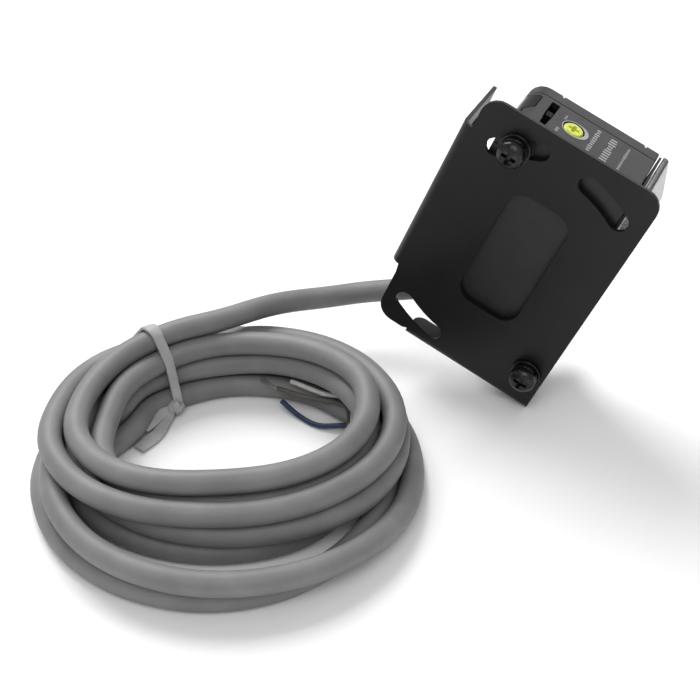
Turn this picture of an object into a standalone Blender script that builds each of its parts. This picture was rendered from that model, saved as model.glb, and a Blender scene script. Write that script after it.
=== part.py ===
"""Photoelectric sensor with a built-in amplifier, on its sheet-steel adjusting bracket.

The sensor and the bracket are modelled in an upright frame: +X to the lens, +Z up, +Y from the
bracket's face to the far side. That frame leans nose-down about Y, because the object rests on the
bracket's front corner and on its coiled cable. Metres throughout.
"""

import math

import bmesh
import bpy
from mathutils import Matrix, Vector

# Fits
GAP = 0.0003  # between faces that touch
SLIP = 0.00025  # round a screw or a moving piece

# Resting pose: the lean, and where the upright frame's corner stands
LEAN = math.radians(22.2)
STAND = (0.00739, -0.01098)

# Bracket: outer size, sheet, bends and face
PLATE_LENGTH = 0.0500
PLATE_HEIGHT = 0.0754
SHEET = 0.0010
BEND_RADIUS = 0.0022
REAR_FLANGE_DEPTH = 0.0216
REAR_FLANGE_Z = (0.0191, 0.0654)
BOTTOM_FLANGE_DEPTH = 0.0088
BOTTOM_FLANGE_START = 0.0122
FLANGE_CORNER = 0.0030
RELIEF = 0.0026
PLATE_CORNER = 0.0047
WINDOW_X = (0.0183, 0.0353)
WINDOW_Z = (0.0208, 0.0572)
WINDOW_CORNER = 0.0050
SLOT_WIDTH = 0.0050
FREE_SLOT_BEND = 0.0320
FREE_SLOT_HALF = 0.0056
TOP_SLOT = (0.0384, 0.0667, math.radians(68.6))
LOW_SLOT = (0.0132, 0.0074, math.radians(249.1))
MOUNT_SLOT = (0.0110, 0.0045)
MOUNT_SLOT_PITCH = 0.0260

# M4 screws and the tilt that the clamp slot allows
PIVOT = (0.0450, 0.0111)
CLAMP_OFFSET = (-0.0310, 0.0556)
SCREW_RADIUS = 0.0020
HEAD_RADIUS = 0.0035
HEAD_HEIGHT = 0.0026
RECESS = (0.0019, 0.00045)
RECESS_DEPTH = 0.0015
WASHER_RADIUS = 0.00405
WASHER_THICKNESS = 0.0008
SPRING_RADIUS = 0.0035
SPRING_THICKNESS = 0.0010
NUT_ACROSS = 0.0070
NUT_HEIGHT = 0.0032
SCREW_END = 0.0012
TILT_UP = math.radians(5.0)
TILT_DOWN = math.radians(4.0)

# Sensor case
CASE_BACK = 0.0084
CASE_FRONT = 0.0433
CASE_NOSE = 0.0496
CASE_LOW = 0.0050
CASE_TOP = 0.0730
CASE_NEAR = 0.0020
CASE_SEAM = 0.0174
CASE_FAR = 0.0214
WALL = 0.0015
NOSE_TOP = 0.0185
BACK_TOP_CORNER = 0.0045
NOSE_CORNER = 0.0025
NOTCH_X = (0.0165, 0.0395)
NOTCH_SIZE = (0.0005, 0.0008, 0.0004)
CUT_HEIGHT = 0.0170
CUT_LENGTH = 0.0160
BOSS_RADIUS = 0.0034
PAD_RADIUS = 0.0043

# Lens cover and optics
SEAL_THICKNESS = 0.0006
COVER_SLOPE = (0.0037, 0.0097)
COVER_SLOPE_RADIUS = (0.0040, 0.0009)
COVER_WALL = 0.0012
OPENING_MARGIN = (0.0025, 0.0035)
OPTIC_Z = (0.0320, 0.0570)
LENS_RADIUS = 0.0060
LENS_FLANGE = 0.0014
LENS_BULGE = 0.0022
HOLDER_LENGTH = 0.0090
LIGHT_BORE = 0.0050
OPTIC_BOARD = 0.0010
PACKAGE_SIDE = 0.0032
PACKAGE_HEIGHT = 0.0011

# Controls on the top
SELECTOR_X = 0.0161
SELECTOR_Y = (0.0053, 0.0100, 0.0163)
SELECTOR_WIDE = 0.0022
SELECTOR_NARROW = 0.0015
SELECTOR_CAP = 0.0022
ADJUSTER_PLACE = (0.0230, 0.0104)
ADJUSTER_RADIUS = 0.00255
ADJUSTER_HEIGHT = 0.0026
ADJUSTER_RECESS = (0.0014, 0.0004)
ADJUSTER_RECESS_DEPTH = 0.0009
INDICATOR_X = (0.0104, 0.0124)
INDICATOR_Y = (0.0103, 0.0162)
INDICATOR_LOW = 0.0640

# Circuit
BOARD_THICKNESS = 0.0012
BOARD_Y = 0.0148
BOARD_X = (0.0115, 0.0280)
BOARD_Z = (0.0240, 0.0600)
TRIMMER_SIDE = 0.0060
TRIMMER_HEIGHT = 0.0036
SWITCH_SIZE = (0.0050, 0.0060, 0.0045)
LED_SIDE = 0.0014
LED_HEIGHT = 0.0005
BOARD_PARTS = {  # place on the board (x, z), size (x, z), height
    "processor": ((0.0175, 0.0475), (0.0070, 0.0070), 0.0012),
    "output_transistor": ((0.01575, 0.0370), (0.0045, 0.0060), 0.0018),
    "wire_terminal": ((0.0185, 0.02775), (0.0090, 0.0045), 0.0045),
}
CAPACITOR_PLACE = (0.0235, 0.0385)
CAPACITOR_RADIUS = 0.0025
CAPACITOR_HEIGHT = 0.0060
SHIELD_WALL = 0.0004
SHIELD_SIZE = (0.0030, 0.0080, 0.0120)

# Cable
CABLE_DIAMETER = 0.0060
GLAND_LENGTH = 0.0070
GLAND_RADIUS = 0.0046
COIL_CENTRE = (-0.0506, -0.0663)
COIL_OUTER = 0.0479
COIL_INNER = 0.0290
COIL_HEIGHT = 0.0165
LEAD_ROUTE = [
    (-0.0440, 0.0004, 0.0160),
    (-0.0530, -0.0068, 0.0160),
    (-0.0600, -0.0175, 0.0190),
    (-0.0655, -0.0262, 0.0201),
    (-0.0705, -0.0336, 0.0201),
]
TIE_ANGLE = math.radians(144.0)
TIE_WIDTH = 0.0046
TIE_THICKNESS = 0.0012
TAIL_LENGTH = 0.0120
WIRE_DIAMETER = 0.0014
WIRE_HEIGHTS = (0.0030, 0.0018, 0.0010)
WIRE_ROUTES = {
    "wire_white": [(0.0190, 0.0208), (0.0080, 0.0222), (-0.0020, 0.0205)],
    "wire_brown": [(0.0208, 0.0186), (0.0080, 0.0178), (-0.0060, 0.0165)],
    "wire_blue": [(0.0225, 0.0162), (0.0080, 0.0130), (-0.0020, 0.0120)],
}

FINISHES = {
    "coated_steel": ((0.022, 0.022, 0.024), 0.38, 0.1),
    "black_steel": ((0.030, 0.030, 0.032), 0.35, 0.9),
    "plated_steel": ((0.55, 0.56, 0.58), 0.35, 1.0),
    "grey_plastic": ((0.045, 0.045, 0.047), 0.45, 0.0),
    "black_plastic": ((0.012, 0.012, 0.013), 0.45, 0.0),
    "smoked_plastic": ((0.030, 0.028, 0.028), 0.12, 0.0),
    "clear_plastic": ((0.62, 0.63, 0.64), 0.12, 0.0),
    "lens_plastic": ((0.75, 0.77, 0.78), 0.06, 0.0),
    "adjuster_plastic": ((0.62, 0.66, 0.10), 0.40, 0.0),
    "circuit_board": ((0.020, 0.160, 0.070), 0.40, 0.0),
    "chip_resin": ((0.015, 0.015, 0.017), 0.50, 0.0),
    "led_resin": ((0.750, 0.300, 0.080), 0.20, 0.0),
    "rubber": ((0.030, 0.030, 0.030), 0.80, 0.0),
    "cable_jacket": ((0.190, 0.190, 0.190), 0.55, 0.0),
    "tie_nylon": ((0.450, 0.450, 0.460), 0.45, 0.0),
    "white_wire": ((0.700, 0.700, 0.680), 0.45, 0.0),
    "brown_wire": ((0.120, 0.060, 0.030), 0.45, 0.0),
    "blue_wire": ((0.020, 0.040, 0.220), 0.45, 0.0),
}


def finish(name):
    made = bpy.data.materials.get(name)
    if made is None:
        colour, roughness, metallic = FINISHES[name]
        made = bpy.data.materials.new(name)
        made.use_nodes = True
        shader = made.node_tree.nodes["Principled BSDF"]
        shader.inputs["Base Color"].default_value = (*colour, 1.0)
        shader.inputs["Roughness"].default_value = roughness
        shader.inputs["Metallic"].default_value = metallic
    return made


def add_empty(name, parent=None, location=(0, 0, 0)):
    made = bpy.data.objects.new(name, None)
    bpy.context.scene.collection.objects.link(made)
    made.parent = parent
    made.location = location
    return made


def add_solid(name, fill, parent, look=None):
    """An object of the mesh that fill makes. One with no look is a cutter."""
    work = bmesh.new()
    fill(work)
    bmesh.ops.recalc_face_normals(work, faces=work.faces)
    mesh = bpy.data.meshes.new(name)
    work.to_mesh(mesh)
    work.free()
    mesh.shade_smooth()
    mesh.set_sharp_from_angle(angle=math.radians(30))
    made = bpy.data.objects.new(name, mesh)
    bpy.context.scene.collection.objects.link(made)
    made.parent = parent
    if look is None:
        made.hide_render = True
        made.display_type = "WIRE"
    else:
        mesh.materials.append(finish(look))
    return made


def boolean(target, other, operation="DIFFERENCE"):
    modifier = target.modifiers.new(other.name, "BOOLEAN")
    modifier.operation = operation
    modifier.solver = "EXACT"
    modifier.object = other


# Outlines are lists of points in a plane, read as (x, z) unless a function says otherwise.


def arc(centre, radius, start, end, steps):
    angles = [start + (end - start) * k / steps for k in range(steps + 1)]
    return [(centre[0] + radius * math.cos(a), centre[1] + radius * math.sin(a)) for a in angles]


def circle(centre, radius, count=24):
    return arc(centre, radius, 0, math.tau, count)[:-1]


def box(low_x, high_x, low_z, high_z):
    return [(low_x, low_z), (high_x, low_z), (high_x, high_z), (low_x, high_z)]


def rounded(corners, steps=5):
    """An outline with rounded corners. Each corner is (x, z, radius)."""
    outline = []
    for k, (x, z, radius) in enumerate(corners):
        here = Vector((x, z))
        if radius <= 0:
            outline.append((x, z))
            continue
        before = (Vector(corners[k - 1][:2]) - here).normalized()
        after = (Vector(corners[(k + 1) % len(corners)][:2]) - here).normalized()
        half = before.angle(after) / 2
        centre = here + (before + after).normalized() * radius / math.sin(half)
        start = here + before * radius / math.tan(half) - centre
        end = here + after * radius / math.tan(half) - centre
        sweep = math.atan2(start.x * end.y - start.y * end.x, start.dot(end))
        first = math.atan2(start.y, start.x)
        outline.extend(arc(centre, radius, first, first + sweep, steps))
    return outline


def inset(corners, wall):
    """The corners of an anticlockwise outline moved in by a wall's thickness."""
    moved = []
    for k, (x, z, radius) in enumerate(corners):
        here = Vector((x, z))
        before = (here - Vector(corners[k - 1][:2])).normalized()
        after = (Vector(corners[(k + 1) % len(corners)][:2]) - here).normalized()
        normals = [Vector((-edge.y, edge.x)) for edge in (before, after)]
        middle = (normals[0] + normals[1]).normalized()
        place = here + middle * wall / middle.dot(normals[0])
        outside = before.x * after.y - before.y * after.x > 0
        bent = radius - wall if outside else radius + wall
        moved.append((place.x, place.y, max(bent, 0) if radius > 0 else 0))
    return moved


def arc_slot(hub, radius, middle, back, forward, width, steps=6):
    """A slot along an arc about a hub, from middle - forward to middle + back."""
    half = width / 2
    low, high = middle - forward, middle + back
    high_end = Vector(hub) + Vector((math.cos(high), math.sin(high))) * radius
    low_end = Vector(hub) + Vector((math.cos(low), math.sin(low))) * radius
    return (
        arc(hub, radius + half, low, high, steps)
        + arc(high_end, half, high, high + math.pi, steps)[1:-1]
        + arc(hub, radius - half, high, low, steps)
        + arc(low_end, half, low + math.pi, low + math.tau, steps)[1:-1]
    )


def cross(centre, reach, half):
    """A plus sign, for a driver's recess."""
    arm = [(reach, -half), (reach, half), (half, half)]
    outline = []
    for cosine, sine in ((1, 0), (0, 1), (-1, 0), (0, -1)):
        for a, b in arm:
            outline.append((centre[0] + a * cosine - b * sine, centre[1] + a * sine + b * cosine))
    return outline


def straight_slot(centre, length, width, steps=6):
    """A slot whose length lies along the outline's second axis."""
    half = width / 2
    reach = length / 2 - half
    top = arc((centre[0], centre[1] + reach), half, 0, math.pi, steps)
    low = arc((centre[0], centre[1] - reach), half, math.pi, math.tau, steps)
    return top + low


def prism(outline, start, end, axis="Y"):
    """A filler that extrudes an outline along an axis: (x, z) along Y, (x, y) along Z or (y, z) along X."""
    place = {
        "X": lambda a, b, c: (c, a, b),
        "Y": lambda a, b, c: (a, c, b),
        "Z": lambda a, b, c: (a, b, c),
    }[axis]

    def fill(work):
        first = [work.verts.new(place(a, b, start)) for a, b in outline]
        last = [work.verts.new(place(a, b, end)) for a, b in outline]
        work.faces.new(first)
        work.faces.new(last)
        for k in range(len(outline)):
            nxt = (k + 1) % len(outline)
            work.faces.new((first[k], first[nxt], last[nxt], last[k]))

    return fill


def turned(profile, count=24, turn=Matrix.Identity(4), closed=False):
    """A filler that turns a profile of (radius, height) points about Z, then moves it by a matrix."""

    def fill(work):
        rows = []
        for radius, height in profile:
            if radius == 0:
                rows.append([work.verts.new((0, 0, height))])
                continue
            angles = [math.tau * k / count for k in range(count)]
            rows.append([work.verts.new((radius * math.cos(a), radius * math.sin(a), height)) for a in angles])
        pairs = list(zip(rows, rows[1:]))
        if closed:
            pairs.append((rows[-1], rows[0]))
        for low, high in pairs:
            for k in range(count):
                nxt = (k + 1) % count
                ring = [low[k % len(low)], low[nxt % len(low)], high[nxt % len(high)], high[k % len(high)]]
                work.faces.new(list(dict.fromkeys(ring)))
        bmesh.ops.transform(work, matrix=turn, verts=work.verts)

    return fill


def along_y(x, z, y=0.0):
    """Puts a turned shape's axis along +Y through (x, z)."""
    return Matrix.Translation((x, y, z)) @ Matrix.Rotation(-math.pi / 2, 4, "X")


def along_x(y, z, x=0.0):
    """Puts a turned shape's axis along +X through (y, z)."""
    return Matrix.Translation((x, y, z)) @ Matrix.Rotation(math.pi / 2, 4, "Y")


def ring_profile(inner, outer, low, high):
    return [(inner, low), (outer, low), (outer, high), (inner, high)]


# Bracket


def clamp_place():
    return (PIVOT[0] + CLAMP_OFFSET[0], PIVOT[1] + CLAMP_OFFSET[1])


def plate_outline():
    """The face, with its lobe at the lower rear corner and a relief at each bend's end."""
    lobe_low = BEND_RADIUS * 0.75
    return rounded([
        (PLATE_LENGTH, BEND_RADIUS, 0),
        (PLATE_LENGTH, PLATE_HEIGHT, PLATE_CORNER),
        (RELIEF, PLATE_HEIGHT, PLATE_CORNER),
        (RELIEF, REAR_FLANGE_Z[1], 0),
        (BEND_RADIUS, REAR_FLANGE_Z[1], 0),
        (BEND_RADIUS, REAR_FLANGE_Z[0], 0),
        (RELIEF, REAR_FLANGE_Z[0] - RELIEF, 0.0006),
        (RELIEF, lobe_low, PLATE_CORNER),
        (BOTTOM_FLANGE_START - RELIEF / 2, lobe_low, 0),
        (BOTTOM_FLANGE_START, BEND_RADIUS, 0),
    ])


def flange_section(depth):
    """A bend and its leaf as (across, depth), with a root that laps into the plate."""
    bend = (BEND_RADIUS, BEND_RADIUS)
    root = BEND_RADIUS * 1.3
    return (
        [(root, 0)]
        + arc(bend, BEND_RADIUS, -math.pi / 2, -math.pi, 6)
        + [(0, depth), (SHEET, depth)]
        + arc(bend, BEND_RADIUS - SHEET, -math.pi, -math.pi / 2, 6)
        + [(root, SHEET)]
    )


def bracket_holes():
    reach = Vector(CLAMP_OFFSET)
    spare = 2 * SLIP / reach.length
    holes = {
        "window": rounded([
            (WINDOW_X[1], WINDOW_Z[0], WINDOW_CORNER),
            (WINDOW_X[1], WINDOW_Z[1], WINDOW_CORNER),
            (WINDOW_X[0], WINDOW_Z[1], WINDOW_CORNER),
            (WINDOW_X[0], WINDOW_Z[0], WINDOW_CORNER),
        ]),
        "clamp_slot": arc_slot(
            PIVOT, reach.length, math.atan2(reach.y, reach.x), TILT_DOWN + spare, TILT_UP + spare, SLOT_WIDTH,
        ),
        "pivot_hole": circle(PIVOT, SCREW_RADIUS + SLIP),
    }
    for name, (x, z, outward) in {"top_slot": TOP_SLOT, "low_slot": LOW_SLOT}.items():
        hub = (x - FREE_SLOT_BEND * math.cos(outward), z - FREE_SLOT_BEND * math.sin(outward))
        half = FREE_SLOT_HALF / FREE_SLOT_BEND
        holes[name] = arc_slot(hub, FREE_SLOT_BEND, outward, half, half, SLOT_WIDTH)
    return holes


def make_bracket(upright):
    """The bracket hangs on an empty on the pivot screw's axis."""
    hinge = add_empty("bracket_hinge", upright, (PIVOT[0], 0, PIVOT[1]))
    through = 0.001
    bracket = add_solid("bracket", prism(plate_outline(), 0, SHEET), hinge, "coated_steel")
    rear = prism(flange_section(REAR_FLANGE_DEPTH), *REAR_FLANGE_Z, axis="Z")
    turned_section = [(depth, across) for across, depth in flange_section(BOTTOM_FLANGE_DEPTH)]
    bottom = prism(turned_section, BOTTOM_FLANGE_START, PLATE_LENGTH, axis="X")
    tools = [
        (add_solid("rear_flange", rear, hinge), "UNION"),
        (add_solid("bottom_flange", bottom, hinge), "UNION"),
    ]
    corner = (BOTTOM_FLANGE_START + FLANGE_CORNER, BOTTOM_FLANGE_DEPTH - FLANGE_CORNER)
    outline = arc(corner, FLANGE_CORNER, math.pi, math.pi / 2, 6) + [
        (corner[0], BOTTOM_FLANGE_DEPTH + through),
        (BOTTOM_FLANGE_START - through, BOTTOM_FLANGE_DEPTH + through),
        (BOTTOM_FLANGE_START - through, corner[1]),
    ]
    round_corner = prism(outline, -through, SHEET + through, "Z")
    tools.append((add_solid("flange_corner", round_corner, hinge), "DIFFERENCE"))
    for name, outline in bracket_holes().items():
        tools.append((add_solid(name, prism(outline, -through, SHEET + through), hinge), "DIFFERENCE"))
    middle = ((BEND_RADIUS + REAR_FLANGE_DEPTH) / 2, sum(REAR_FLANGE_Z) / 2)
    for name, rise in (("low_mount_slot", -MOUNT_SLOT_PITCH / 2), ("high_mount_slot", MOUNT_SLOT_PITCH / 2)):
        outline = straight_slot((middle[0], middle[1] + rise), *MOUNT_SLOT)
        tools.append((add_solid(name, prism(outline, -through, SHEET + through, "X"), hinge), "DIFFERENCE"))
    for tool, operation in tools:
        boolean(bracket, tool, operation)
    for piece in [bracket] + [tool for tool, _ in tools]:
        piece.data.transform(Matrix.Translation((-PIVOT[0], 0, -PIVOT[1])))


# Fasteners


def make_screw(name, x, z, parent):
    """A pan-head screw with a cross recess, its shank along +Y to the far side's nut."""
    head_base = -(WASHER_THICKNESS + SPRING_THICKNESS) - 3 * GAP
    end = CASE_FAR + WASHER_THICKNESS + NUT_HEIGHT + SCREW_END + 2 * GAP
    top = head_base - HEAD_HEIGHT
    profile = [(0, top)]
    profile += [(HEAD_RADIUS * 0.55, top + 0.00015), (HEAD_RADIUS * 0.86, top + 0.0007)]
    profile += [(HEAD_RADIUS, top + 0.0015), (HEAD_RADIUS, head_base), (SCREW_RADIUS, head_base)]
    profile += [(SCREW_RADIUS, end - 0.0004), (SCREW_RADIUS - 0.0004, end), (0, end)]
    screw = add_solid(name, turned(profile, 24, along_y(x, z)), parent, "black_steel")
    outline = cross((x, z), *RECESS)
    boolean(screw, add_solid(f"{name}_recess", prism(outline, top - 0.001, top + RECESS_DEPTH), parent))


def make_spring_washer(name, x, z, parent):
    """A split ring, open by a narrow gap at its upper right."""
    near = -(WASHER_THICKNESS + SPRING_THICKNESS) - 2 * GAP
    inner = SCREW_RADIUS + SLIP
    start, sweep = math.radians(62), math.radians(348)
    outline = arc((x, z), SPRING_RADIUS, start, start + sweep, 26)
    outline += arc((x, z), inner, start + sweep, start, 26)
    add_solid(name, prism(outline, near, near + SPRING_THICKNESS), parent, "black_steel")


def make_washer(name, x, z, near, parent, look):
    profile = ring_profile(SCREW_RADIUS + SLIP, WASHER_RADIUS, 0, WASHER_THICKNESS)
    add_solid(name, turned(profile, 28, along_y(x, z, near), closed=True), parent, look)


def make_nut(name, x, z, near, parent):
    hexagon = circle((x, z), NUT_ACROSS / math.sqrt(3), 6)
    nut = add_solid(name, prism(hexagon, near, near + NUT_HEIGHT), parent, "plated_steel")
    bore = prism(circle((x, z), SCREW_RADIUS + SLIP), near - 0.001, near + NUT_HEIGHT + 0.001)
    boolean(nut, add_solid(f"{name}_bore", bore, parent))


def make_fasteners(upright):
    for name, (x, z) in {"pivot": PIVOT, "clamp": clamp_place()}.items():
        make_screw(f"{name}_screw", x, z, upright)
        make_spring_washer(f"{name}_spring_washer", x, z, upright)
        make_washer(f"{name}_washer", x, z, -WASHER_THICKNESS - GAP, upright, "black_steel")
        make_washer(f"{name}_far_washer", x, z, CASE_FAR + GAP, upright, "plated_steel")
        make_nut(f"{name}_nut", x, z, CASE_FAR + WASHER_THICKNESS + 2 * GAP, upright)


# Case


def case_corners():
    """The case from the side: a nose round the pivot screw, and a slanted corner for the cable."""
    return [
        (CASE_NOSE, CASE_LOW, NOSE_CORNER),
        (CASE_NOSE, NOSE_TOP, 0.0008),
        (CASE_FRONT, NOSE_TOP, 0),
        (CASE_FRONT, CASE_TOP, 0.0004),
        (CASE_BACK, CASE_TOP, BACK_TOP_CORNER),
        (CASE_BACK, CASE_LOW + CUT_HEIGHT, 0.0025),
        (CASE_BACK + CUT_LENGTH, CASE_LOW, 0.0025),
    ]


def screw_places():
    return {"pivot": PIVOT, "clamp": clamp_place()}


def make_shell(name, outer, hollow, boss, parent):
    """Half of the case: a wall all round, a boss at each screw, and the screw holes."""
    shell = add_solid(name, prism(rounded(case_corners()), *outer), parent, "grey_plastic")
    room = prism(rounded(inset(case_corners(), WALL)), *hollow)
    boolean(shell, add_solid(f"{name}_room", room, parent))
    for place, centre in screw_places().items():
        post = prism(circle(centre, BOSS_RADIUS), *boss)
        boolean(shell, add_solid(f"{name}_{place}_post", post, parent), "UNION")
        hole = prism(circle(centre, SCREW_RADIUS + SLIP), outer[0] - 0.002, outer[1] + 0.002)
        boolean(shell, add_solid(f"{name}_{place}_hole", hole, parent))
    margin_y, margin_z = OPENING_MARGIN
    opening = prism(
        box(CASE_NEAR + margin_y, CASE_FAR - margin_y, NOSE_TOP + margin_z, CASE_TOP - margin_z),
        CASE_FRONT - 2 * WALL, CASE_FRONT + WALL, "X",
    )
    boolean(shell, add_solid(f"{name}_opening", opening, parent))
    return shell


def selector_outline(spare):
    """The stepped slot in (x, y): narrow near the bracket, wide on the far side."""
    near, step, far = SELECTOR_Y
    narrow = SELECTOR_NARROW / 2 + spare
    wide = SELECTOR_WIDE / 2 + spare
    back = SELECTOR_X - wide
    return [
        (back + 2 * narrow + 0.0004, near - spare), (back + 2 * wide, step), (back + 2 * wide, far + spare),
        (back, far + spare), (back, step), (back + 0.0004, near - spare),
    ]


def indicator_outline(spare):
    """The smoked window's place on the rear top corner in (x, y), wider on the far side."""
    low_x = CASE_BACK - 0.001
    near = CASE_NEAR - 0.001
    return [
        (low_x, near), (INDICATOR_X[0] + spare, near), (INDICATOR_X[0] + spare, INDICATOR_Y[0] - 0.002),
        (INDICATOR_X[1] + spare, INDICATOR_Y[0]), (INDICATOR_X[1] + spare, INDICATOR_Y[1] + spare),
        (low_x, INDICATOR_Y[1] + spare),
    ]


def make_case(upright):
    hollow = (CASE_NEAR + WALL, CASE_SEAM + 0.001)
    case = make_shell("case", (CASE_NEAR, CASE_SEAM), hollow, (CASE_NEAR + 0.0002, CASE_SEAM), upright)
    for place, centre in screw_places().items():
        pad = turned(
            ring_profile(SCREW_RADIUS + SLIP, PAD_RADIUS, SHEET + GAP, CASE_NEAR + 0.0002),
            28, along_y(*centre), closed=True,
        )
        boolean(case, add_solid(f"case_{place}_pad", pad, upright), "UNION")
    neck = gland_neck() + SLIP
    cuts = {
        "selector_hole": prism(selector_outline(0), CASE_TOP - 2 * WALL, CASE_TOP + WALL, "Z"),
        "adjuster_hole": prism(
            circle(ADJUSTER_PLACE, ADJUSTER_RADIUS + SLIP), CASE_TOP - 2 * WALL, CASE_TOP + WALL, "Z"
        ),
        "indicator_hole": prism(indicator_outline(0), INDICATOR_LOW, CASE_TOP + WALL, "Z"),
        "gland_hole": turned([(0, -3 * WALL), (neck, -3 * WALL), (neck, WALL), (0, WALL)], 24, gland_frame()),
    }
    for name, fill in cuts.items():
        boolean(case, add_solid(name, fill, upright))


def make_side_cover(upright):
    """The far half of the case, with two small snap notches in its top edge."""
    outer = (CASE_SEAM + GAP, CASE_FAR)
    hollow = (CASE_SEAM - 0.001, CASE_FAR - WALL)
    cover = make_shell("side_cover", outer, hollow, (CASE_SEAM + GAP, CASE_FAR - 0.0002), upright)
    wide, deep, tall = NOTCH_SIZE
    for number, x in enumerate(NOTCH_X):
        outline = box(x - wide / 2, x + wide / 2, CASE_FAR - deep, CASE_FAR + WALL)
        notch = prism(outline, CASE_TOP - tall, CASE_TOP + WALL, "Z")
        boolean(cover, add_solid(f"snap_notch_{number}", notch, upright))


def make_indicator_window(upright):
    """A smoked window let into the case's rounded rear top corner."""
    band = rounded(case_corners(), 8)
    whole = prism(band, CASE_NEAR, INDICATOR_Y[1] - GAP)
    window = add_solid("indicator_window", whole, upright, "smoked_plastic")
    core = prism(rounded(inset(case_corners(), WALL), 8), CASE_NEAR - 0.001, CASE_SEAM)
    boolean(window, add_solid("indicator_core", core, upright))
    keep = prism(indicator_outline(-GAP), INDICATOR_LOW + GAP, CASE_TOP + WALL, "Z")
    boolean(window, add_solid("indicator_keep", keep, upright), "INTERSECT")


# Front


def cover_start():
    return CASE_FRONT + SEAL_THICKNESS + 2 * GAP


def cover_corners(start):
    """The lens cover from the side: its front slopes back to the top."""
    deep, tall = COVER_SLOPE
    low_radius, top_radius = COVER_SLOPE_RADIUS
    low = NOSE_TOP + GAP
    return [
        (start, low, 0),
        (CASE_NOSE, low, 0.0004),
        (CASE_NOSE, CASE_TOP - tall, low_radius),
        (CASE_NOSE - deep, CASE_TOP, top_radius),
        (start, CASE_TOP, 0),
    ]


def make_lens_cover(upright):
    start = cover_start()
    shell = prism(rounded(cover_corners(start)), CASE_NEAR, CASE_FAR)
    cover = add_solid("lens_cover", shell, upright, "clear_plastic")
    room = prism(
        rounded(inset(cover_corners(start - 2 * COVER_WALL), COVER_WALL)),
        CASE_NEAR + COVER_WALL, CASE_FAR - COVER_WALL,
    )
    boolean(cover, add_solid("cover_room", room, upright))


def make_cover_seal(upright):
    """A rubber frame between the case's front face and the lens cover's rim."""
    start = CASE_FRONT + GAP
    rim = 0.0010
    frame = prism(box(CASE_NEAR + 0.0003, CASE_FAR - 0.0003, NOSE_TOP + 2 * GAP, CASE_TOP - 0.0005),
                  start, start + SEAL_THICKNESS, "X")
    hole = prism(box(CASE_NEAR + rim, CASE_FAR - rim, NOSE_TOP + GAP + rim, CASE_TOP - rim),
                 start - rim, start + SEAL_THICKNESS + rim, "X")
    seal = add_solid("cover_seal", frame, upright, "rubber")
    boolean(seal, add_solid("cover_seal_hole", hole, upright))


def optic_y():
    return (CASE_NEAR + CASE_FAR) / 2


def make_optics(upright):
    """Two lenses in a holder, with the light source and the receiver on a board behind it."""
    margin_y, margin_z = OPENING_MARGIN
    low_y, high_y = CASE_NEAR + WALL + GAP, CASE_FAR - WALL - GAP
    low_z, high_z = NOSE_TOP + margin_z - 0.0005, CASE_TOP - margin_z - 0.0005
    holder_end = CASE_FRONT - WALL - GAP
    holder_start = holder_end - HOLDER_LENGTH
    holder = add_solid(
        "optics_holder", prism(box(low_y, high_y, low_z, high_z), holder_start, holder_end, "X"),
        upright, "black_plastic",
    )
    flange_low = holder_end + GAP
    for name, z in (("receiving_lens", OPTIC_Z[0]), ("transmitting_lens", OPTIC_Z[1])):
        bore = turned(
            [(0, holder_start - 0.001), (PACKAGE_SIDE, holder_start - 0.001), (LIGHT_BORE, holder_end + 0.001),
             (0, holder_end + 0.001)], 20, along_x(optic_y(), z),
        )
        boolean(holder, add_solid(f"{name}_bore", bore, upright))
        dome = [
            (LENS_RADIUS * 0.9 * math.cos(a), flange_low + LENS_FLANGE + LENS_BULGE * math.sin(a))
            for a in [math.pi / 2 * k / 6 for k in range(6)]
        ]
        profile = [(0, flange_low), (LENS_RADIUS, flange_low), (LENS_RADIUS, flange_low + LENS_FLANGE)]
        profile += dome + [(0, flange_low + LENS_FLANGE + LENS_BULGE)]
        add_solid(name, turned(profile, 28, along_x(optic_y(), z)), upright, "lens_plastic")
    board_end = holder_start - GAP - PACKAGE_HEIGHT - GAP
    board = prism(box(low_y + 0.001, high_y - 0.001, low_z, high_z), board_end - OPTIC_BOARD, board_end, "X")
    add_solid("optics_board", board, upright, "circuit_board")
    half = PACKAGE_SIDE / 2
    for name, z in (("photodiode", OPTIC_Z[0]), ("light_source", OPTIC_Z[1])):
        package = prism(
            rounded([(optic_y() + half, z - half, 0.0003), (optic_y() + half, z + half, 0.0003),
                     (optic_y() - half, z + half, 0.0003), (optic_y() - half, z - half, 0.0003)], 2),
            board_end + GAP, board_end + GAP + PACKAGE_HEIGHT, "X",
        )
        add_solid(name, package, upright, "led_resin" if name == "light_source" else "chip_resin")
    make_shield(board_end - OPTIC_BOARD - GAP, upright)


def make_shield(end, upright):
    """A folded metal box over the receiver's circuit, open to the board."""
    wall = SHIELD_WALL
    deep, wide, tall = SHIELD_SIZE
    high_y = BOARD_Y - 0.0015
    low_y = high_y - wide
    low_z, high_z = OPTIC_Z[0] - tall / 2, OPTIC_Z[0] + tall / 2
    start = end - deep
    folded = prism(box(low_y, high_y, low_z, high_z), start, end, "X")
    shield = add_solid("receiver_shield", folded, upright, "plated_steel")
    room = prism(box(low_y + wall, high_y - wall, low_z + wall, high_z - wall), start + wall, end + wall, "X")
    boolean(shield, add_solid("shield_room", room, upright))


# Controls and circuit


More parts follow.
